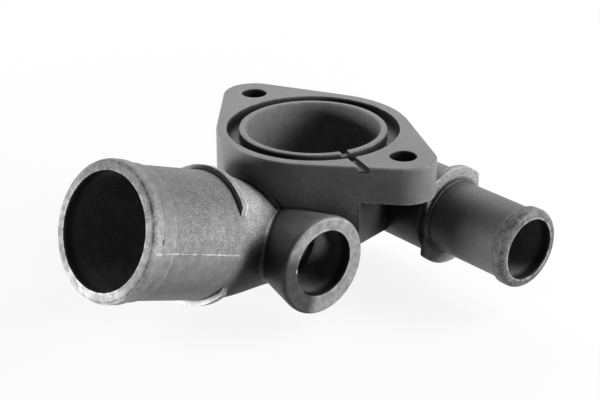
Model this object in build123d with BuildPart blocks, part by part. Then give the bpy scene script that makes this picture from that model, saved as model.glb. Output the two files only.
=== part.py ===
from build123d import *
from math import cos, radians, sin
import os

# Coolant flange of a car engine: one moulded housing with a bolted mating plate,
# a large hose spigot, a small hose spigot and a sensor port, all in millimetres.
# The origin is the centre of the throat on the mating face. +Z points out of the
# mating face, towards the engine, and +X runs along the line of the two bolts.

# Mating plate
plate_thickness = 9.5
plate_round_radius = 25.35
plate_round_offset = 0.3
plate_edge_round = 0.5
lug_radius = 8.4
bolt_spacing = 58.2
bolt_line_offset = 4.0
bolt_hole_diameter = 7.0
bolt_head_room = 7.3
bolt_head_cut_angle = 27.2

# Throat, sealing ring wall, seal groove and vent slot
throat_diameter = 35.0
throat_wall = 3.0
throat_floor_wall = 3.0
throat_outer_depth = 24.0
ring_wall = 1.7
ring_edge_round = 0.3
groove_width = 3.3
groove_depth = 2.8
vent_slot_width = 2.2
vent_slot_depth = 1.0
vent_slot_angle = -16.5

# Block that joins the plate to the ports, deeper towards the small spigot
block_corner_y = -8.4
block_corner_depth = 21.0
block_slope = 15.8
block_back_depth = 32.0

# Large hose spigot, which rises towards the mating face as it goes out
large_mouth_x = 6.0
large_mouth_y = -69.1
large_mouth_z = -6.1
large_turn = -85.0
large_rise = 20.9
large_barrel_diameter = 32.0
large_wall = 1.85
large_lip_width = 1.3
large_bead_round = 1.4
large_bead_rise = 0.9
large_bead_length = 3.2
large_land_start = 4.2
large_land_rise = 0.35
large_land_end = 7.4
large_collar_start = 29.5
large_collar_width = 1.8
large_collar_rise = 1.35
large_collar_end_cut = 2.7

# Neck of the large spigot, which narrows and leans towards +X to a closed round end
large_neck_ease = 3.0
large_neck_ease_drop = 0.3
large_neck_ease_lean = 0.1
large_neck_middle = 45.8
large_neck_middle_drop = 5.7
large_neck_middle_lean = 1.2
large_neck_end = 64.0
large_neck_end_drop = 10.0
large_neck_end_lean = 2.6
large_neck_wall = 2.3

# Small hose spigot, level and along the bolt line
small_mouth_x = 57.0
small_axis_y = 21.0
small_axis_depth = 20.65
small_barrel_diameter = 19.0
small_wall = 1.55
small_bead_round = 1.4
small_bead_rise = 0.8
small_bead_length = 3.2
small_bead_end = 4.2
small_shoulder_start = 25.1
small_shoulder_rise = 0.5
small_collar_start = 26.0
small_collar_width = 1.7
small_collar_rise = 3.7
small_neck_rise = 1.8
small_neck_end = 50.0

# Sensor port, level and along the bolt line
sensor_face_x = 29.2
sensor_axis_y = -21.9
sensor_axis_depth = 21.1
sensor_bore_diameter = 17.1
sensor_bore_depth = 13.5
sensor_inner_diameter = 14.0
sensor_inner_depth = 29.8
sensor_boss_drop = 0.7
sensor_boss_diameter = 25.2
sensor_boss_edge_round = 0.8
sensor_boss_rim = 1.5
sensor_boss_root_diameter = 13.2
sensor_boss_blend = 0.9

# Values worked out from the sizes above
throat_radius = throat_diameter / 2
cup_radius = throat_radius + throat_wall
ring_radius = throat_radius + ring_wall
groove_radius = ring_radius + groove_width
bolt_x = bolt_spacing / 2
bolt_places = [(bolt_x, bolt_line_offset), (-bolt_x, bolt_line_offset)]
reach = 4 * bolt_spacing
large_bore_diameter = large_barrel_diameter - 2 * large_wall
large_bead_diameter = large_barrel_diameter + 2 * large_bead_rise
large_land_diameter = large_barrel_diameter + 2 * large_land_rise
large_collar_diameter = large_barrel_diameter + 2 * large_collar_rise
large_collar_flats = large_barrel_diameter - 2 * large_collar_end_cut
large_neck_start = large_collar_start + large_collar_width
small_bore_diameter = small_barrel_diameter - 2 * small_wall
small_bead_diameter = small_barrel_diameter + 2 * small_bead_rise
small_shoulder_diameter = small_barrel_diameter + 2 * small_shoulder_rise
small_collar_diameter = small_barrel_diameter + 2 * small_collar_rise
small_neck_diameter = small_barrel_diameter + 2 * small_neck_rise
small_neck_start = small_collar_start + small_collar_width

large_out = Vector(
    cos(radians(large_turn)) * cos(radians(large_rise)),
    sin(radians(large_turn)) * cos(radians(large_rise)),
    sin(radians(large_rise)),
)
large_plane = Plane(
    origin=(large_mouth_x, large_mouth_y, large_mouth_z),
    x_dir=-large_out,
    z_dir=large_out.cross(Vector(0, 0, 1)),
)
small_plane = Plane(
    origin=(small_mouth_x, small_axis_y, -small_axis_depth),
    x_dir=(-1, 0, 0),
    z_dir=(0, 1, 0),
)
sensor_plane = Plane(
    origin=(sensor_face_x, sensor_axis_y, -sensor_axis_depth),
    x_dir=(-1, 0, 0),
    z_dir=(0, 1, 0),
)
sensor_boss_plane = Plane(
    origin=(sensor_face_x, sensor_axis_y, -sensor_axis_depth - sensor_boss_drop),
    x_dir=(-1, 0, 0),
    z_dir=(0, 1, 0),
)
block_underside = Plane(
    origin=(0, block_corner_y, -block_corner_depth),
    x_dir=(1, 0, 0),
    z_dir=(0, sin(radians(block_slope)), cos(radians(block_slope))),
)


def port_axis(plane):
    """The centre line of a port whose plane has its X along that line, inwards."""
    return Axis(plane.origin, plane.x_dir)


def across(plane, station):
    """A plane square to a port's centre line, a distance in from its mouth."""
    return Plane(
        origin=plane.origin + plane.x_dir * station,
        x_dir=plane.z_dir,
        z_dir=plane.x_dir,
    )


def neck_shape(start_radius, wall):
    """The large neck's round sections and end, or its passage if a wall is given."""
    widest = large_barrel_diameter / 2 - wall
    sections = [
        (large_neck_start, start_radius, 0),
        (large_neck_start + large_neck_ease, widest - large_neck_ease_drop / 2, large_neck_ease_lean),
        (large_neck_middle, widest - large_neck_middle_drop / 2, large_neck_middle_lean),
        (large_neck_end, widest - large_neck_end_drop / 2, large_neck_end_lean),
    ]
    with BuildPart() as neck:
        for station, radius, lean in sections:
            with BuildSketch(across(large_plane, station)):
                with Locations((-lean, 0)):
                    Circle(radius)
        loft()
        end_place = across(large_plane, large_neck_end).from_local_coords((-large_neck_end_lean, 0, 0))
        with Locations(end_place):
            Sphere(widest - large_neck_end_drop / 2)
    return neck.part


with BuildPart() as neck_and_boss:
    # Neck of the large spigot
    add(neck_shape(large_barrel_diameter / 2, 0))

    # Sensor boss, widest at its face, with a soft seam where it leaves the large neck
    with BuildSketch(sensor_boss_plane):
        with BuildLine():
            Polyline(
                (0, sensor_boss_diameter / 2 - sensor_boss_edge_round),
                (0, 0),
                (sensor_face_x, 0),
                (sensor_face_x, sensor_boss_root_diameter / 2),
                (sensor_boss_rim, sensor_boss_diameter / 2),
                (sensor_boss_edge_round, sensor_boss_diameter / 2),
            )
            ThreePointArc(
                (sensor_boss_edge_round, sensor_boss_diameter / 2),
                (sensor_boss_edge_round * 0.3, sensor_boss_diameter / 2 - sensor_boss_edge_round * 0.3),
                (0, sensor_boss_diameter / 2 - sensor_boss_edge_round),
            )
        make_face()
    revolve(axis=port_axis(sensor_boss_plane))
    boss_seams = neck_and_boss.edges(Select.LAST).filter_by(GeomType.BSPLINE)
    fillet(boss_seams.sort_by(SortBy.LENGTH)[-1], sensor_boss_blend)

with BuildPart() as flange_housing:
    # Plate with two bolt lugs
    with BuildSketch() as plate_outline:
        with Locations((0, plate_round_offset)):
            Circle(plate_round_radius)
        with Locations(*bolt_places):
            Circle(lug_radius)
        make_hull()
    extrude(amount=-plate_thickness)
    fillet(flange_housing.edges().group_by(Axis.Z)[-1], plate_edge_round)

    # Block under the plate, cut back beside both bolts to leave room for their heads
    with BuildSketch(Plane.XY.offset(-block_back_depth)):
        add(plate_outline.sketch)
        for side in (1, -1):
            cut_angle = 90 - side * (90 - bolt_head_cut_angle)
            with Locations(Location((side * bolt_x, bolt_line_offset, 0), (0, 0, cut_angle))):
                with Locations((reach / 2 - bolt_head_room, 0)):
                    Rectangle(reach, reach, mode=Mode.SUBTRACT)
    extrude(amount=block_back_depth - plate_thickness)
    split(bisect_by=block_underside, keep=Keep.TOP)

    # Cup around the throat
    with BuildSketch(Plane.XY.offset(-throat_outer_depth)):
        Circle(cup_radius)
    extrude(amount=throat_outer_depth - plate_thickness)

    # Large spigot: rounded bead, land and barrel
    with BuildSketch(large_plane):
        with BuildLine():
            Polyline(
                (large_neck_start, large_barrel_diameter / 2),
                (large_neck_start, 0),
                (0, 0),
                (0, large_bore_diameter / 2 + large_lip_width),
            )
            ThreePointArc(
                (0, large_bore_diameter / 2 + large_lip_width),
                (large_bead_round * 0.3, large_bead_diameter / 2 - large_bead_round * 0.3),
                (large_bead_round, large_bead_diameter / 2),
            )
            Polyline(
                (large_bead_round, large_bead_diameter / 2),
                (large_bead_length, large_bead_diameter / 2),
                (large_land_start, large_land_diameter / 2),
                (large_land_end, large_land_diameter / 2),
                (large_land_end, large_barrel_diameter / 2),
                (large_neck_start, large_barrel_diameter / 2),
            )
        make_face()
    revolve(axis=port_axis(large_plane))

    # Hose stop on the large spigot: a disc cut off at both sides, which leaves two arcs
    with BuildSketch(across(large_plane, large_collar_start)):
        Circle(large_collar_diameter / 2)
        Rectangle(large_collar_flats, large_collar_diameter, mode=Mode.INTERSECT)
    extrude(amount=large_collar_width)

    # Neck of the large spigot and the sensor boss on its side
    add(neck_and_boss.part)

    # Small spigot: rounded bead, barrel, shoulder and a wider neck with a round end
    with BuildSketch(small_plane):
        with BuildLine():
            Polyline(
                (small_neck_end + small_neck_diameter / 2, 0),
                (0, 0),
                (0, small_bead_diameter / 2 - small_bead_round),
            )
            ThreePointArc(
                (0, small_bead_diameter / 2 - small_bead_round),
                (small_bead_round * 0.3, small_bead_diameter / 2 - small_bead_round * 0.3),
                (small_bead_round, small_bead_diameter / 2),
            )
            Polyline(
                (small_bead_round, small_bead_diameter / 2),
                (small_bead_length, small_bead_diameter / 2),
                (small_bead_end, small_barrel_diameter / 2),
                (small_shoulder_start, small_barrel_diameter / 2),
                (small_shoulder_start, small_shoulder_diameter / 2),
                (small_neck_start, small_shoulder_diameter / 2),
                (small_neck_start, small_neck_diameter / 2),
                (small_neck_end, small_neck_diameter / 2),
            )
            RadiusArc(
                (small_neck_end, small_neck_diameter / 2),
                (small_neck_end + small_neck_diameter / 2, 0),
                small_neck_diameter / 2,
            )
        make_face()
    revolve(axis=port_axis(small_plane))

    # Hose stop on the small spigot
    with BuildSketch(across(small_plane, small_collar_start)):
        Circle(small_collar_diameter / 2)
        Rectangle(small_barrel_diameter, small_collar_diameter, mode=Mode.INTERSECT)
    extrude(amount=small_collar_width)

    # Throat down to its floor, with a rounded rim on the ring wall
    with BuildSketch(Plane.XZ):
        with BuildLine():
            Polyline(
                (throat_radius, -ring_edge_round),
                (throat_radius, throat_floor_wall - throat_outer_depth),
                (0, throat_floor_wall - throat_outer_depth),
                (0, 0),
                (throat_radius + ring_edge_round, 0),
            )
            ThreePointArc(
                (throat_radius + ring_edge_round, 0),
                (throat_radius + ring_edge_round * 0.3, -ring_edge_round * 0.3),
                (throat_radius, -ring_edge_round),
            )
        make_face()
    revolve(axis=Axis.Z, mode=Mode.SUBTRACT)

    # Seal groove around the ring wall, with the wall's other rim rounded
    with BuildSketch(Plane.XZ):
        with BuildLine():
            Polyline(
                (ring_radius, -ring_edge_round),
                (ring_radius, -groove_depth),
                (groove_radius, -groove_depth),
                (groove_radius, 0),
                (ring_radius - ring_edge_round, 0),
            )
            ThreePointArc(
                (ring_radius - ring_edge_round, 0),
                (ring_radius - ring_edge_round * 0.3, -ring_edge_round * 0.3),
                (ring_radius, -ring_edge_round),
            )
        make_face()
    revolve(axis=Axis.Z, mode=Mode.SUBTRACT)

    # Vent slot across the ring wall and the plate's edge
    with BuildSketch(Plane.XY.offset(-vent_slot_depth)):
        with Locations(Location((0, 0, 0), (0, 0, vent_slot_angle))):
            with Locations((throat_radius + lug_radius, 0)):
                Rectangle(4 * lug_radius, vent_slot_width)
    extrude(amount=vent_slot_depth, mode=Mode.SUBTRACT)

    # Bolt holes
    with BuildSketch(Plane.XY.offset(-plate_thickness)):
        with Locations(*bolt_places):
            Circle(bolt_hole_diameter / 2)
    extrude(amount=plate_thickness, mode=Mode.SUBTRACT)

    # Passage of the large spigot, narrowing with the neck
    with BuildSketch(across(large_plane, 0)):
        Circle(large_bore_diameter / 2)
    extrude(amount=large_neck_start, mode=Mode.SUBTRACT)
    add(neck_shape(large_bore_diameter / 2, large_neck_wall), mode=Mode.SUBTRACT)

    # Passage of the small spigot
    with BuildSketch(across(small_plane, 0)):
        Circle(small_bore_diameter / 2)
    extrude(amount=small_neck_end, mode=Mode.SUBTRACT)

    # Sensor bore and the narrower way into the large passage
    with BuildSketch(across(sensor_plane, 0)):
        Circle(sensor_bore_diameter / 2)
    extrude(amount=sensor_bore_depth, mode=Mode.SUBTRACT)
    with BuildSketch(across(sensor_plane, 0)):
        Circle(sensor_inner_diameter / 2)
    extrude(amount=sensor_inner_depth, mode=Mode.SUBTRACT)

flange_housing.part.label = "flange_housing"
os.makedirs("parts", exist_ok=True)
export_step(flange_housing.part, "parts/flange_housing.step")
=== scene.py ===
import math
from types import SimpleNamespace
import bpy
from mathutils import Matrix, Vector


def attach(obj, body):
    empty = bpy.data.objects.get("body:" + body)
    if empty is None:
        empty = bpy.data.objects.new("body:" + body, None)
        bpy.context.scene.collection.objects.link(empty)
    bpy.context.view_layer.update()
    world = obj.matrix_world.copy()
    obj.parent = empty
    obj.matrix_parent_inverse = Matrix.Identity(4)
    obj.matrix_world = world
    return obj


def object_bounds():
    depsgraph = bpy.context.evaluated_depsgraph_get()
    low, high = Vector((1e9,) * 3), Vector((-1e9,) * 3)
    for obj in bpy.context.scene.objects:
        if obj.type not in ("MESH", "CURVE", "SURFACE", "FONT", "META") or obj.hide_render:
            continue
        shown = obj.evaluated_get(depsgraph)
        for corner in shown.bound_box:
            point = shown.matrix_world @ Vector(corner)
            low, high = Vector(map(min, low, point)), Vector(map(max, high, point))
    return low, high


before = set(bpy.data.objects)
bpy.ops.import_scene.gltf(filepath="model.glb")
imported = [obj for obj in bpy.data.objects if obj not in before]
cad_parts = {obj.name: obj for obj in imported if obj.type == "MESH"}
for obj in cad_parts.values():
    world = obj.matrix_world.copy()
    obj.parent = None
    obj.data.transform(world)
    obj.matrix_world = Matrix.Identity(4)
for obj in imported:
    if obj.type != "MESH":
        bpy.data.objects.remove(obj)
cad_low, cad_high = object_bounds()
scene = bpy.context.scene
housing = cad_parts["flange_housing"]

# Ports of the flange in metres: mouth centre and outward direction
LARGE_MOUTH = Vector((0.0060, -0.0691, -0.0061))
LARGE_OUT = Vector((0.081422, -0.930650, 0.356738)).normalized()
LARGE_SIDE = Vector((0, 0, 1)).cross(LARGE_OUT).normalized()
LARGE_UP = LARGE_OUT.cross(LARGE_SIDE)
SMALL_MOUTH = Vector((0.0570, 0.0210, -0.02065))
SENSOR_MOUTH = Vector((0.0292, -0.0219, -0.0211))
SIDE_OUT = Vector((1.0, 0.0, 0.0))

# Bolt holes and vent slot of the plate
BOLT_X = 0.0291
BOLT_Y = 0.0040
SLOT_TURN = math.radians(-16.5)
SLOT_ALONG = Vector((math.cos(SLOT_TURN), math.sin(SLOT_TURN), 0.0))
SLOT_ACROSS = Vector((-math.sin(SLOT_TURN), math.cos(SLOT_TURN), 0.0))

# Radii of the neck and its bore, which narrow behind the hose stop: start, radius and fall
NECK_TAPER = (0.0313, 0.0166, 0.19)
BORE_TAPER = (0.0313, 0.0143, 0.24)

# The neck's radius along the seam of the sensor boss, in two stretches: start, radius and fall
SEAM_NEAR = (0.0343, 0.0160, 0.14)
SEAM_FAR = (0.0458, 0.01425, 0.04)

# Bands along the large spigot, in from its mouth: start, end and softness
LIP_LINE = (0.00018, 0.00042, 0.00008)
BEAD_CREST = (0.0005, 0.0030, 0.0003)
BEAD_LINE = (0.00330, 0.00365, 0.00010)
LAND = (0.0032, 0.0074, 0.00015)
LARGE_STOP = (0.0294, 0.0314, 0.0001)
NECK_TOP = (0.0310, 0.0400, 0.0020)
NECK_FOOT = (0.0315, 0.0480, 0.0020)
BOSS_SEAM = (0.0345, 0.0500, 0.0010)

# Bands around the large spigot: height above its centre line, distance from it, distance from the seam
PARTING_LINE = (-0.00016, 0.00016, 0.00008)
NECK_TOP_HEIGHT = (0.0050, 0.0130, 0.0020)
LARGE_STOP_RADII = (0.0162, 0.0175, 0.0001)
SEAM_LIGHT = (0.00020, 0.00055, 0.00010)
SEAM_DARK = (0.00085, 0.00170, 0.00020)

# Soft steps along and around the large spigot: from none to all
SPIGOT_PART = (0.0325, 0.0300)
LIGHT_SKIN = (0.0520, 0.0440)
OFF_NECK = (0.0014, 0.0004)
LIP_END = (0.0016, 0.0008)
BARREL_START = (0.0012, 0.0016)
BARREL_END = (0.0305, 0.0295)
RINGS_START = (0.0070, 0.0080)
RINGS_END = (0.0150, 0.0120)
ABOVE_LINE = (-0.0006, 0.0006)
NECK_FOOT_HEIGHT = (0.0060, 0.0000)
NECK_FOOT_X = (0.0040, 0.0090)
SEAM_X = (0.0100, 0.0120)
SEAM_DARK_HEIGHT = (-0.0010, 0.0020)

# Insides of the three ports: soft edge of the bore, and start behind the mouth
LARGE_BORE_EDGE = (0.0001, -0.00005)
SMALL_BORE_EDGE = (0.00815, 0.00800)
SENSOR_BORE_EDGE = (0.00870, 0.00860)
PORT_START = (0.0002, 0.0008)
SENSOR_END = (0.0310, 0.0300)
# Painted shade inside the ports: distance in from the mouth where it is lightest, and where it is darkest
PORT_PAINTED_SHADE = (0.0040, 0.0020)

# Bands and steps of the small spigot and of the sensor port's face
SMALL_STOP = (0.0259, 0.0278, 0.0001)
SMALL_STOP_RADII = (0.0101, 0.0134, 0.0002)
SMALL_BARREL = (0.0045, 0.0262, 0.0003)
SMALL_BARREL_RADIUS = (0.0110, 0.0105)
SMALL_BARREL_TOP = (-0.0170, -0.0125)
SMALL_BEAD = (0.0045, 0.0035)
SMALL_BEAD_RADIUS = (0.0125, 0.0115)
SMALL_EDGE_RADII = (0.0080, 0.0084, 0.00008)
SMALL_EDGE = (0.0006, 0.0003)
SENSOR_FACE = (0.0004, 0.0001)
SENSOR_FACE_RADIUS = (0.0140, 0.0135)

# Bands and steps of the plate, the throat and the block under the plate
GROOVE_RADII = (0.01915, 0.02265, 0.0001)
GROOVE_HEIGHT = (-0.0035, -0.00045, 0.00025)
HOLE_EDGE = (0.00365, 0.00355)
HOLE_HEIGHT = (-0.0093, -0.0003, 0.0002)
SLOT_SIDES = (-0.0011, 0.0011, 0.00005)
SLOT_START = (0.012, 0.013)
SLOT_HEIGHT = (-0.0014, -0.0002, 0.0001)
THROAT_RADIUS = (0.0177, 0.0175)
THROAT_HEIGHT = (-0.0002, -0.0008)
BLOCK_TOP = (-0.0096, -0.0104)
BLOCK_X = (0.0120, 0.0306, 0.0006)
BLOCK_FRONT = (-0.0096, -0.0086)
BLOCK_BACK = (0.0220, 0.0130)
BLOCK_RADIUS = (0.0192, 0.0200)

# Nick in the bead's back edge, and a painted glint on the sensor bore's edge: place, size and softness
NICK_TURN = math.radians(9.5)
NICK_IN = 0.0031
NICK_RADIUS = 0.0169
NICK_AWAY = LARGE_SIDE * math.cos(NICK_TURN) + LARGE_UP * math.sin(NICK_TURN)
NICK_PLACE = LARGE_MOUTH - LARGE_OUT * NICK_IN + NICK_AWAY * NICK_RADIUS
NICK = (NICK_PLACE, (0.00045, 0.00035, 0.0010), 0.4)
SENSOR_RIM_PAINTED_GLINT = (Vector((0.0292, -0.0304, -0.0204)), (0.0012, 0.0006, 0.0008), 0.6)

# Noises of the skin: scale, detail, roughness and, for the fibres, stretch
GRAIN = (2600.0, 3.0, 0.6)
MOTTLE = (520.0, 5.0, 0.6)
CLOUD = (90.0, 4.0, 0.5)
FIBRE = (900.0, 2.0, 0.5, (1.0, 1.0, 4.0))

# Tones of the plain skin: noise from and to, and the tone at each
CLOUD_TONE = (0.25, 0.75, 0.70, 0.86)
MOTTLE_TONE = (0.30, 0.70, 0.94, 1.06)
FINE_TONE = (0.30, 0.70, 0.95, 1.05)
ROUGH_TONE = (0.30, 0.70, 0.88, 1.12)
SPECKLE = (0.34, 0.66)
SPECKLE_MIDDLE = 0.5
ROUGHNESS = (0.30, 0.70, 0.40, 0.52)

# Strength of the coarse grain: below and above the parting line, off and on the land, along the barrel
GRAIN_BY_LINE = (0.0, 1.0, 0.35, 0.85)
GRAIN_BY_LAND = (0.0, 1.0, 1.0, 0.35)
GRAIN_BY_BARREL = (0.0075, 0.0125, 0.65, 1.0)
ROUGH_SHARE = 0.12
ROUGH_SHARE_LARGE = 0.75

# Marks whose strength follows a noise: noise from and to, and the strength at each
WORN_EDGE_HIGHLIGHT_SPREAD = (0.30, 0.60)
LIP_STRENGTH = (0.35, 0.65, 0.05, 0.65)
SEAM_STRENGTH = (0.35, 0.60, 0.6, 1.7)
SMALL_STOP_STRENGTH = (0.35, 0.65, 0.30, 1.30)
FACE_STRENGTH = (0.30, 0.65, 0.42, 1.02)
LINE_STRENGTH = (0.35, 0.60, -0.60, -0.20)
BEAD_MOTTLE = (0.34, 0.66, 0.0, 0.55)
BEAD_GRAIN = (0.35, 0.65, 0.0, 0.35)
BEAD_MIDDLE = 0.72

# Occlusion for worn edges with a painted edge highlight, and for painted shade in creases and narrow seams:
# distance, and the values between which a mark grows
WORN_EDGE_HIGHLIGHT_REACH, WORN_EDGE_HIGHLIGHT_RANGE = 0.0007, (0.92, 0.45)
CREASE_SHADE_REACH, CREASE_SHADE_RANGE = 0.010, (0.80, 0.30)
SEAM_SHADE_REACH, SEAM_SHADE_RANGE = 0.0011, (0.85, 0.55)
OCCLUSION_SAMPLES = 8

# Painted light and shade on the large spigot by height: darker higher up and below its centre line, lighter
# on its underside
TOP_PAINTED_SHADE = (0.0030, 0.0130, 1.0, 0.57)
SIDE_PAINTED_SHADE = (0.0000, -0.0030, 1.0, 0.86)
UNDERSIDE_PAINTED_LIGHT = (-0.0095, -0.0140, 1.0, 2.00)

# Plain colour, gloss and fine relief of the skin
SKIN_GREY = (0.200, 0.200, 0.200, 1.0)
GLOSS = 0.18
EDGE_ROUNDING = 0.00025
EDGE_SAMPLES = 6
BUMP_STRENGTH = 0.35
BUMP_DISTANCE = 0.00012
RING_PITCH = 0.00105


class Shader:
    """Adds nodes to a material's node tree with short calls."""

    def __init__(self, tree):
        self.tree = tree

    def add(self, kind, **settings):
        node = self.tree.nodes.new(kind)
        for name, value in settings.items():
            setattr(node, name, value)
        return node

    def put(self, socket, value):
        if isinstance(value, bpy.types.NodeSocket):
            self.tree.links.new(value, socket)
        else:
            socket.default_value = value

    def math(self, operation, *values):
        node = self.add("ShaderNodeMath", operation=operation)
        for socket, value in zip(node.inputs, values):
            self.put(socket, value)
        return node.outputs[0]

    def plus(self, a, b):
        return self.math("ADD", a, b)

    def minus(self, a, b):
        return self.math("SUBTRACT", a, b)

    def times(self, first, *others):
        for other in others:
            first = self.math("MULTIPLY", first, other)
        return first

    def most(self, first, *others):
        for other in others:
            first = self.math("MAXIMUM", first, other)
        return first

    def tint(self, shade, mask, strength):
        """The shade made lighter by a positive strength where the mask is 1, or darker by a negative one."""
        return self.times(shade, self.plus(1.0, self.times(mask, strength)))

    def vector(self, operation, a, b):
        node = self.add("ShaderNodeVectorMath", operation=operation)
        self.put(node.inputs[0], a)
        self.put(node.inputs[1], b)
        return node

    def dot(self, a, b):
        return self.vector("DOT_PRODUCT", a, b).outputs["Value"]

    def size(self, place):
        """Length of a vector."""
        node = self.add("ShaderNodeVectorMath", operation="LENGTH")
        self.put(node.inputs[0], place)
        return node.outputs["Value"]

    def length(self, a, b):
        """Length of the hypotenuse over two sides."""
        return self.math("SQRT", self.plus(self.times(a, a), self.times(b, b)))

    def ramp(self, value, low, high, out_low=0.0, out_high=1.0):
        """Smooth step of value from low to high."""
        node = self.add("ShaderNodeMapRange", interpolation_type="SMOOTHSTEP")
        for socket, number in zip(node.inputs, (value, low, high, out_low, out_high)):
            self.put(socket, number)
        return node.outputs[0]

    def band(self, value, low, high, soft):
        """1 where value lies between low and high, with soft ends."""
        rise = self.ramp(value, low - soft, low + soft)
        return self.times(rise, self.ramp(value, high + soft, high - soft))

    def slope(self, along, start, radius, fall):
        """A radius at start that falls steadily along a centre line."""
        return self.minus(radius, self.times(self.minus(along, start), fall))

    def taper(self, along, start, radius, fall):
        """A radius that stays the same up to start and falls from there on."""
        return self.math("MINIMUM", radius, self.slope(along, start, radius, fall))

    def noise(self, place, scale, detail, rough, stretch=None):
        if stretch:
            place = self.vector("MULTIPLY", place, stretch).outputs[0]
        node = self.add("ShaderNodeTexNoise")
        self.put(node.inputs["Vector"], place)
        self.put(node.inputs["Scale"], scale)
        self.put(node.inputs["Detail"], detail)
        self.put(node.inputs["Roughness"], rough)
        return node.outputs[0]

    def occlusion(self, reach, inside=False):
        """How open the surface is within a reach, outside or inside the solid."""
        node = self.add("ShaderNodeAmbientOcclusion", samples=OCCLUSION_SAMPLES, inside=inside)
        self.put(node.inputs["Distance"], reach)
        return node.outputs["AO"]

    def port(self, place, mouth, out):
        """Distance in from a port's mouth, and distance from its centre line."""
        offset = self.vector("SUBTRACT", place, mouth).outputs[0]
        along = self.dot(offset, out)
        beside = self.minus(self.dot(offset, offset), self.times(along, along))
        return self.times(along, -1.0), self.math("SQRT", self.most(beside, 0.0))

    def spot(self, place, centre, size, soft):
        """1 inside an ellipsoid around a point, 0 outside."""
        offset = self.vector("SUBTRACT", place, centre).outputs[0]
        return self.ramp(self.size(self.vector("DIVIDE", offset, size).outputs[0]), 1.0, 1.0 - soft)

    def seen_rays(self):
        """1 for rays from the camera, a reflection or a transparent surface."""
        path = self.add("ShaderNodeLightPath").outputs
        return self.most(path["Is Camera Ray"], path["Is Glossy Ray"], path["Is Transmission Ray"])


def find_places(s):
    """Distances, noises and masks that tell the material where it is on the housing."""
    m = SimpleNamespace()
    m.place = s.add("ShaderNodeTexCoord").outputs["Object"]
    axes = s.add("ShaderNodeSeparateXYZ")
    s.put(axes.inputs[0], m.place)
    m.x, m.y, m.z = axes.outputs
    m.from_centre = s.length(m.x, m.y)
    m.large_in, m.large_r = s.port(m.place, LARGE_MOUTH, LARGE_OUT)
    m.small_in, m.small_r = s.port(m.place, SMALL_MOUTH, SIDE_OUT)
    m.sensor_in, m.sensor_r = s.port(m.place, SENSOR_MOUTH, SIDE_OUT)
    m.line_height = s.dot(s.vector("SUBTRACT", m.place, LARGE_MOUTH).outputs[0], LARGE_UP)

    m.grain = s.noise(m.place, *GRAIN)
    m.mottle = s.noise(m.place, *MOTTLE)
    m.cloud = s.noise(m.place, *CLOUD)
    m.fibre = s.noise(m.place, *FIBRE)

    # Outside of the large spigot and its neck
    m.neck_side = s.ramp(s.minus(m.large_r, s.taper(m.large_in, *NECK_TAPER)), *OFF_NECK)
    m.spigot_side = s.ramp(m.large_in, *SPIGOT_PART)
    m.on_large = s.times(s.most(m.neck_side, m.spigot_side), s.ramp(m.large_in, *LIGHT_SKIN))

    # Insides of the three ports
    to_bore = s.minus(m.large_r, s.taper(m.large_in, *BORE_TAPER))
    m.in_large = s.times(s.ramp(to_bore, *LARGE_BORE_EDGE), s.ramp(m.large_in, *PORT_START))
    m.in_small = s.times(s.ramp(m.small_r, *SMALL_BORE_EDGE), s.ramp(m.small_in, *PORT_START))
    m.in_sensor = s.times(s.ramp(m.sensor_r, *SENSOR_BORE_EDGE), s.ramp(m.sensor_in, *PORT_START))
    m.in_sensor = s.times(m.in_sensor, s.ramp(m.sensor_in, *SENSOR_END))
    m.outside = s.minus(1.0, s.most(m.in_large, m.in_small, m.in_sensor))

    # Parting line, land and lip of the large spigot
    on_barrel = s.times(s.ramp(m.large_in, *BARREL_START), s.ramp(m.large_in, *BARREL_END))
    m.on_line = s.times(on_barrel, s.band(m.line_height, *PARTING_LINE), m.outside)
    m.above_line = s.ramp(m.line_height, *ABOVE_LINE)
    m.on_land = s.band(m.large_in, *LAND)
    m.at_lip = s.times(s.ramp(m.large_in, *LIP_END), m.outside)
    return m


def skin_texture(s, m):
    """Plain skin, fine on most of the housing and coarse on the large spigot."""
    plain = s.times(s.ramp(m.cloud, *CLOUD_TONE), s.ramp(m.mottle, *MOTTLE_TONE))
    coarse = s.times(
        s.minus(s.ramp(m.grain, *SPECKLE), SPECKLE_MIDDLE),
        s.ramp(m.above_line, *GRAIN_BY_LINE),
        s.ramp(m.on_land, *GRAIN_BY_LAND),
        s.ramp(m.large_in, *GRAIN_BY_BARREL),
    )
    texture = s.add("ShaderNodeMix", data_type="FLOAT")
    s.put(texture.inputs["Factor"], s.plus(s.times(m.on_large, ROUGH_SHARE_LARGE), ROUGH_SHARE))
    s.put(texture.inputs["A"], s.ramp(m.fibre, *FINE_TONE))
    s.put(texture.inputs["B"], s.times(s.plus(1.0, coarse), s.ramp(m.mottle, *ROUGH_TONE)))

    # The large spigot is lighter, most of all on its bead, lip and parting line
    lift = 1.0
    for mask, strength in (
        (m.on_large, 0.55),
        (m.on_land, 0.15),
        (s.band(m.large_in, *BEAD_CREST), 0.64),
        (m.at_lip, s.ramp(m.mottle, *LIP_STRENGTH)),
        (m.on_line, 0.70),
    ):
        lift = s.plus(lift, s.times(mask, strength))
    return s.times(plain, texture.outputs[0], lift)


def wear_highlight_and_shade_marks(s, m):
    """Worn edges with a painted edge highlight, and painted shade in creases and narrow seams, each with its
    strength.
    """
    # Convex edges lighter: wear and a painted highlight; creases and narrow seams darker: painted shade
    worn_edge_highlight = s.times(s.ramp(s.occlusion(WORN_EDGE_HIGHLIGHT_REACH, True), *WORN_EDGE_HIGHLIGHT_RANGE), s.ramp(m.mottle, *WORN_EDGE_HIGHLIGHT_SPREAD))
    crease_painted_shade = s.ramp(s.occlusion(CREASE_SHADE_REACH), *CREASE_SHADE_RANGE)
    seam = s.ramp(s.occlusion(SEAM_SHADE_REACH), *SEAM_SHADE_RANGE)
    return [(worn_edge_highlight, 0.80), (crease_painted_shade, -0.55), (seam, -0.55)]


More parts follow.
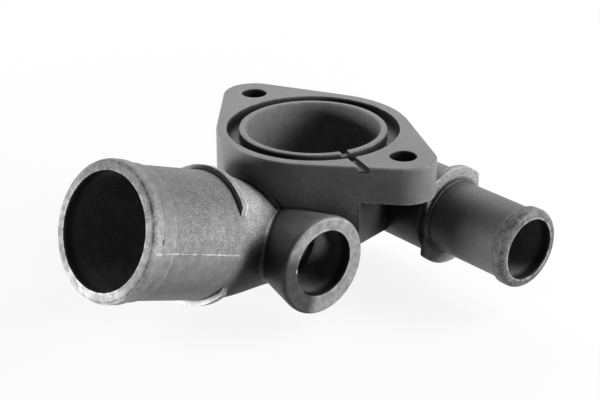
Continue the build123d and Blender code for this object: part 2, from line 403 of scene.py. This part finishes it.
def large_spigot_marks(s, m):
    """Marks on the large spigot and its neck, painted light and shade among them, each with its strength."""
    # Painted shade on the neck's lower part beside the sensor boss, and painted light on its upper part
    neck_foot_painted_shade = s.times(s.band(m.large_in, *NECK_FOOT), s.ramp(m.line_height, *NECK_FOOT_HEIGHT))
    neck_foot_painted_shade = s.times(neck_foot_painted_shade, s.ramp(m.x, *NECK_FOOT_X))
    neck_top_painted_light = s.times(s.band(m.large_in, *NECK_TOP), s.band(m.line_height, *NECK_TOP_HEIGHT), m.neck_side)

    # Seam between the neck and the sensor boss: a painted highlight line with a painted shade line beside it
    off_seam = s.minus(m.large_r, s.most(s.slope(m.large_in, *SEAM_NEAR), s.slope(m.large_in, *SEAM_FAR)))
    by_boss = s.times(s.band(m.large_in, *BOSS_SEAM), s.ramp(m.x, *SEAM_X))
    seam_painted_highlight = s.times(by_boss, s.band(off_seam, *SEAM_LIGHT))
    seam_painted_shade = s.times(by_boss, s.ramp(m.line_height, *SEAM_DARK_HEIGHT), s.band(off_seam, *SEAM_DARK))

    # Lighter rim of the hose stop, and painted shade in narrow bands behind the lip and the bead
    on_stop = s.times(s.band(m.large_in, *LARGE_STOP), s.band(m.large_r, *LARGE_STOP_RADII))
    lip_and_bead_painted_shade = s.times(s.most(s.band(m.large_in, *LIP_LINE), s.band(m.large_in, *BEAD_LINE)), m.outside)
    return [
        (neck_foot_painted_shade, -0.82),
        (neck_top_painted_light, 0.28),
        (seam_painted_highlight, s.ramp(m.mottle, *SEAM_STRENGTH)),
        (seam_painted_shade, -0.75),
        (on_stop, 0.75),
        (lip_and_bead_painted_shade, s.ramp(m.mottle, *LINE_STRENGTH)),
        (s.spot(m.place, *NICK), -0.80),
    ]


def small_port_marks(s, m):
    """Marks on the small spigot and on the sensor port's face, painted light and shade among them, each with
    its strength.
    """
    stop = s.times(s.band(m.small_in, *SMALL_STOP), s.band(m.small_r, *SMALL_STOP_RADII))
    bead = s.times(s.ramp(m.small_in, *SMALL_BEAD), s.minus(1.0, m.in_small))
    bead = s.times(bead, s.ramp(m.small_r, *SMALL_BEAD_RADIUS))
    bead_tone = s.plus(s.ramp(m.mottle, *BEAD_MOTTLE), s.ramp(m.grain, *BEAD_GRAIN))
    # Painted highlight on the small mouth's rim
    edge = s.times(s.band(m.small_r, *SMALL_EDGE_RADII), s.ramp(m.small_in, *SMALL_EDGE))
    # Painted shade on the small barrel's top
    top = s.times(s.band(m.small_in, *SMALL_BARREL), s.ramp(m.small_r, *SMALL_BARREL_RADIUS))
    top = s.times(top, s.ramp(m.z, *SMALL_BARREL_TOP))
    # Painted light on the sensor port's face
    face = s.times(s.ramp(m.sensor_in, *SENSOR_FACE), s.ramp(m.sensor_r, *SENSOR_FACE_RADIUS))
    return [
        (stop, s.ramp(m.grain, *SMALL_STOP_STRENGTH)),
        (bead, s.minus(bead_tone, BEAD_MIDDLE)),
        (edge, 0.60),
        (top, -0.32),
        (face, s.ramp(m.mottle, *FACE_STRENGTH)),
    ]


def dark_marks(s, m):
    """Painted shade on the block under the plate, inside the ports and in the seal groove, bolt holes and
    vent slot, each with its strength.
    """
    # Painted shade on the block under the plate
    block = s.times(
        s.ramp(m.z, *BLOCK_TOP),
        s.band(m.x, *BLOCK_X),
        s.ramp(m.y, *BLOCK_FRONT),
        s.ramp(m.y, *BLOCK_BACK),
        s.ramp(m.from_centre, *BLOCK_RADIUS),
    )
    marks = [(block, -0.71)]
    # Painted shade inside the ports, darkest just behind the mouth
    for mask, inward, deep_shade_strength in (
        (m.in_large, m.large_in, -0.35),
        (m.in_small, m.small_in, 0.0),
        (m.in_sensor, m.sensor_in, -0.10),
    ):
        marks.append((mask, s.ramp(inward, *PORT_PAINTED_SHADE, deep_shade_strength, -0.90)))

    # Painted shade in the seal groove, bolt holes and vent slot
    in_groove = s.times(s.band(m.from_centre, *GROOVE_RADII), s.band(m.z, *GROOVE_HEIGHT))
    from_bolt = s.length(s.minus(s.math("ABSOLUTE", m.x), BOLT_X), s.minus(m.y, BOLT_Y))
    in_hole = s.times(s.ramp(from_bolt, *HOLE_EDGE), s.band(m.z, *HOLE_HEIGHT))
    in_slot = s.times(s.band(s.dot(m.place, SLOT_ACROSS), *SLOT_SIDES), s.band(m.z, *SLOT_HEIGHT))
    in_slot = s.times(in_slot, s.ramp(s.dot(m.place, SLOT_ALONG), *SLOT_START))
    marks.append((s.most(s.times(in_groove, 0.70), in_hole, in_slot), -0.85))
    return marks


def skin_shade(s, m):
    """Multiplier of the plain grey, with every mark on it, painted light and shade among them."""
    shade = skin_texture(s, m)
    # Painted shade and light on the large spigot: darker higher up and below its centre line, lighter on its
    # underside
    tone = s.times(
        s.ramp(m.line_height, *TOP_PAINTED_SHADE),
        s.ramp(m.line_height, *SIDE_PAINTED_SHADE),
        s.ramp(m.line_height, *UNDERSIDE_PAINTED_LIGHT),
    )
    shade = s.times(shade, s.ramp(m.spigot_side, 0.0, 1.0, 1.0, tone))
    for marks in (wear_highlight_and_shade_marks, large_spigot_marks, small_port_marks, dark_marks):
        for mask, strength in marks(s, m):
            shade = s.tint(shade, mask, strength)
    # Painted glint on the sensor bore's edge
    return s.plus(shade, s.times(s.spot(m.place, *SENSOR_RIM_PAINTED_GLINT), 1.8))


def skin_roughness(s, m):
    """Duller on the large spigot, smoother in the throat."""
    in_throat = s.times(s.ramp(m.from_centre, *THROAT_RADIUS), s.ramp(m.z, *THROAT_HEIGHT))
    roughness = s.plus(s.ramp(m.mottle, *ROUGHNESS), s.times(m.on_large, 0.12))
    return s.minus(roughness, s.times(in_throat, 0.14))


def skin_height(s, m):
    """Height of the grain, coarser on the large spigot, with turned rings behind its land."""
    height = s.plus(s.times(m.grain, s.plus(0.15, s.times(m.on_large, 0.55))), s.times(m.mottle, 0.5))
    rings = s.math("SINE", s.times(m.large_in, 2.0 * math.pi / RING_PITCH))
    turned = s.times(s.ramp(m.large_in, *RINGS_START), s.ramp(m.large_in, *RINGS_END))
    return s.plus(height, s.times(rings, turned, 0.25))


def housing_material():
    material = bpy.data.materials.new("moulded_housing")
    material.use_nodes = True
    material.node_tree.nodes.clear()
    s = Shader(material.node_tree)
    m = find_places(s)

    grey = s.add("ShaderNodeCombineColor")
    shade = skin_shade(s, m)
    for socket in grey.inputs:
        s.put(socket, shade)
    colour = s.add("ShaderNodeMix", data_type="RGBA", blend_type="MULTIPLY")
    s.put(colour.inputs["Factor"], 1.0)
    s.put(colour.inputs["A"], SKIN_GREY)
    s.put(colour.inputs["B"], grey.outputs[0])

    soft_edge = s.add("ShaderNodeBevel", samples=EDGE_SAMPLES)
    s.put(soft_edge.inputs["Radius"], EDGE_ROUNDING)
    bump = s.add("ShaderNodeBump")
    s.put(bump.inputs["Strength"], BUMP_STRENGTH)
    s.put(bump.inputs["Distance"], BUMP_DISTANCE)
    s.put(bump.inputs["Height"], skin_height(s, m))
    s.put(bump.inputs["Normal"], soft_edge.outputs[0])

    shader = s.add("ShaderNodeBsdfPrincipled")
    s.put(shader.inputs["Specular IOR Level"], GLOSS)
    s.put(shader.inputs["Base Color"], colour.outputs["Result"])
    s.put(shader.inputs["Roughness"], skin_roughness(s, m))
    s.put(shader.inputs["Normal"], bump.outputs[0])
    output = s.add("ShaderNodeOutputMaterial")
    s.put(output.inputs["Surface"], shader.outputs[0])
    return material


skin = housing_material()
housing.data.materials.clear()
housing.data.materials.append(skin)

# Outline of the large spigot that the parting line follows: distance in from the mouth, and radius
LARGE_PROFILE = [
    (0.00140, 0.01690),
    (0.00320, 0.01690),
    (0.00420, 0.01635),
    (0.00740, 0.01635),
    (0.00741, 0.01600),
    (0.02940, 0.01600),
]
RIDGE_HALF_WIDTH = 0.00015
RIDGE_HEIGHT = 0.00016
RIDGE_ROOT = 0.00006
RIDGE_STEP = 0.0006
RIDGE_UNEVENNESS = 0.25


def profile_points():
    """Points along the outline, about a ridge step apart."""
    points = []
    for (in_a, radius_a), (in_b, radius_b) in zip(LARGE_PROFILE, LARGE_PROFILE[1:]):
        steps = max(1, round((in_b - in_a) / RIDGE_STEP))
        for i in range(steps):
            points.append((in_a + (in_b - in_a) * i / steps, radius_a + (radius_b - radius_a) * i / steps))
    points.append(LARGE_PROFILE[-1])
    return points


def parting_ridge(name, away):
    """The mould's parting line: a low, uneven ridge with a triangular section on one side."""
    across = LARGE_OUT.cross(away)
    points = profile_points()
    verts = []
    for i, (inward, radius) in enumerate(points):
        uneven = 1.0 + RIDGE_UNEVENNESS * math.sin(i * 1.7) * math.sin(i * 0.53)
        centre = LARGE_MOUTH - LARGE_OUT * inward
        root = centre + away * (radius - RIDGE_ROOT)
        verts.append(root - across * RIDGE_HALF_WIDTH)
        verts.append(centre + away * (radius + RIDGE_HEIGHT * uneven))
        verts.append(root + across * RIDGE_HALF_WIDTH)
    faces = [(0, 1, 2)]
    for i in range(len(points) - 1):
        a, b = 3 * i, 3 * i + 3
        for j in range(3):
            k = (j + 1) % 3
            faces.append((a + j, b + j, b + k, a + k))
    last = 3 * len(points) - 3
    faces.append((last + 2, last + 1, last))
    mesh = bpy.data.meshes.new(name)
    mesh.from_pydata(verts, [], faces)
    mesh.materials.append(skin)
    ridge = bpy.data.objects.new(name, mesh)
    scene.collection.objects.link(ridge)
    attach(ridge, "root")


parting_ridge("parting_line_right", LARGE_SIDE)
parting_ridge("parting_line_left", -LARGE_SIDE)

# Floor: grey for the light that falls on the object, white where it is seen, with the object's shadow
FLOOR_DROP = 0.0003
FLOOR_REACH = 4
FLOOR_GREY = 0.13
FLOOR_SEEN = 0.90
WHITE_NEAR_AND_FAR = (0.15, 0.40, 0.86, 1.0)
floor_z = cad_low.z - FLOOR_DROP
corners = [(x * FLOOR_REACH, y * FLOOR_REACH, floor_z) for x, y in ((-1, -1), (1, -1), (1, 1), (-1, 1))]
floor_mesh = bpy.data.meshes.new("floor")
floor_mesh.from_pydata(corners, [], [(0, 1, 2, 3)])
floor = bpy.data.objects.new("floor", floor_mesh)
scene.collection.objects.link(floor)

floor_material = bpy.data.materials.new("pale_floor")
floor_material.use_nodes = True
floor_material.node_tree.nodes.clear()
f = Shader(floor_material.node_tree)
pale = f.add("ShaderNodeBsdfDiffuse")
f.put(pale.inputs["Color"], f.ramp(f.seen_rays(), 0.0, 1.0, FLOOR_GREY, FLOOR_SEEN))
white = f.add("ShaderNodeEmission")
f.put(white.inputs["Strength"], 1.0)
from_object = f.size(f.add("ShaderNodeTexCoord").outputs["Object"])
blend = f.add("ShaderNodeMixShader")
f.put(blend.inputs[0], f.times(f.seen_rays(), f.ramp(from_object, *WHITE_NEAR_AND_FAR)))
f.put(blend.inputs[1], pale.outputs[0])
f.put(blend.inputs[2], white.outputs[0])
f.put(f.add("ShaderNodeOutputMaterial").inputs["Surface"], blend.outputs[0])
floor_mesh.materials.append(floor_material)

# White surroundings that add little light of their own
WORLD_LIGHT = 0.03
world = bpy.data.worlds.new("studio")
world.use_nodes = True
scene.world = world
w = Shader(world.node_tree)
background = world.node_tree.nodes["Background"]
w.put(background.inputs["Strength"], w.ramp(w.seen_rays(), 0.0, 1.0, WORLD_LIGHT, 1.0))
w.put(background.inputs["Color"], (1.0, 1.0, 1.0, 1.0))

# Soft lamps: azimuth from +X and elevation in degrees, size in metres, watts
LAMPS = {
    "lamp_right_low": (33.0, 13.0, 0.22, 3.3),
    "lamp_right_high": (50.0, 37.0, 0.22, 1.5),
    "lamp_left_rear": (144.0, 34.0, 0.40, 1.25),
    "lamp_front_left": (254.0, 4.0, 0.12, 3.6),
    "lamp_left": (190.0, 14.0, 0.25, 1.2),
}
LAMP_DISTANCE = 0.55
LAMP_TARGET = Vector((0.0, -0.015, -0.020))
for name, (azimuth, elevation, size, watts) in LAMPS.items():
    az, el = math.radians(azimuth), math.radians(elevation)
    direction = Vector((math.cos(az) * math.cos(el), math.sin(az) * math.cos(el), math.sin(el)))
    light = bpy.data.lights.new(name, "AREA")
    light.shape = "SQUARE"
    light.size = size
    light.energy = watts
    lamp = bpy.data.objects.new(name, light)
    lamp.location = LAMP_TARGET + direction * LAMP_DISTANCE
    lamp.rotation_mode = "QUATERNION"
    lamp.rotation_quaternion = direction.to_track_quat("Z", "Y")
    lamp.visible_camera = False
    scene.collection.objects.link(lamp)

# Camera of the photograph
CAMERA_PLACE = Vector((0.25281, -0.22353, 0.13480))
CAMERA_RIGHT = Vector((0.65367, 0.75677, 0.00376))
CAMERA_DOWN = Vector((0.31941, -0.27139, -0.90792))
CAMERA_AHEAD = Vector((-0.68607, 0.59468, -0.41912))
camera_data = bpy.data.cameras.new("camera")
camera_data.lens = 84.0
camera_data.sensor_width = 36.0
camera_data.clip_start = 0.01
camera = bpy.data.objects.new("camera", camera_data)
scene.collection.objects.link(camera)
camera_turn = Matrix((CAMERA_RIGHT, -CAMERA_DOWN, -CAMERA_AHEAD)).transposed()
camera.matrix_world = Matrix.Translation(CAMERA_PLACE) @ camera_turn.to_4x4()
scene.camera = camera

scene.view_settings.view_transform = "Standard"
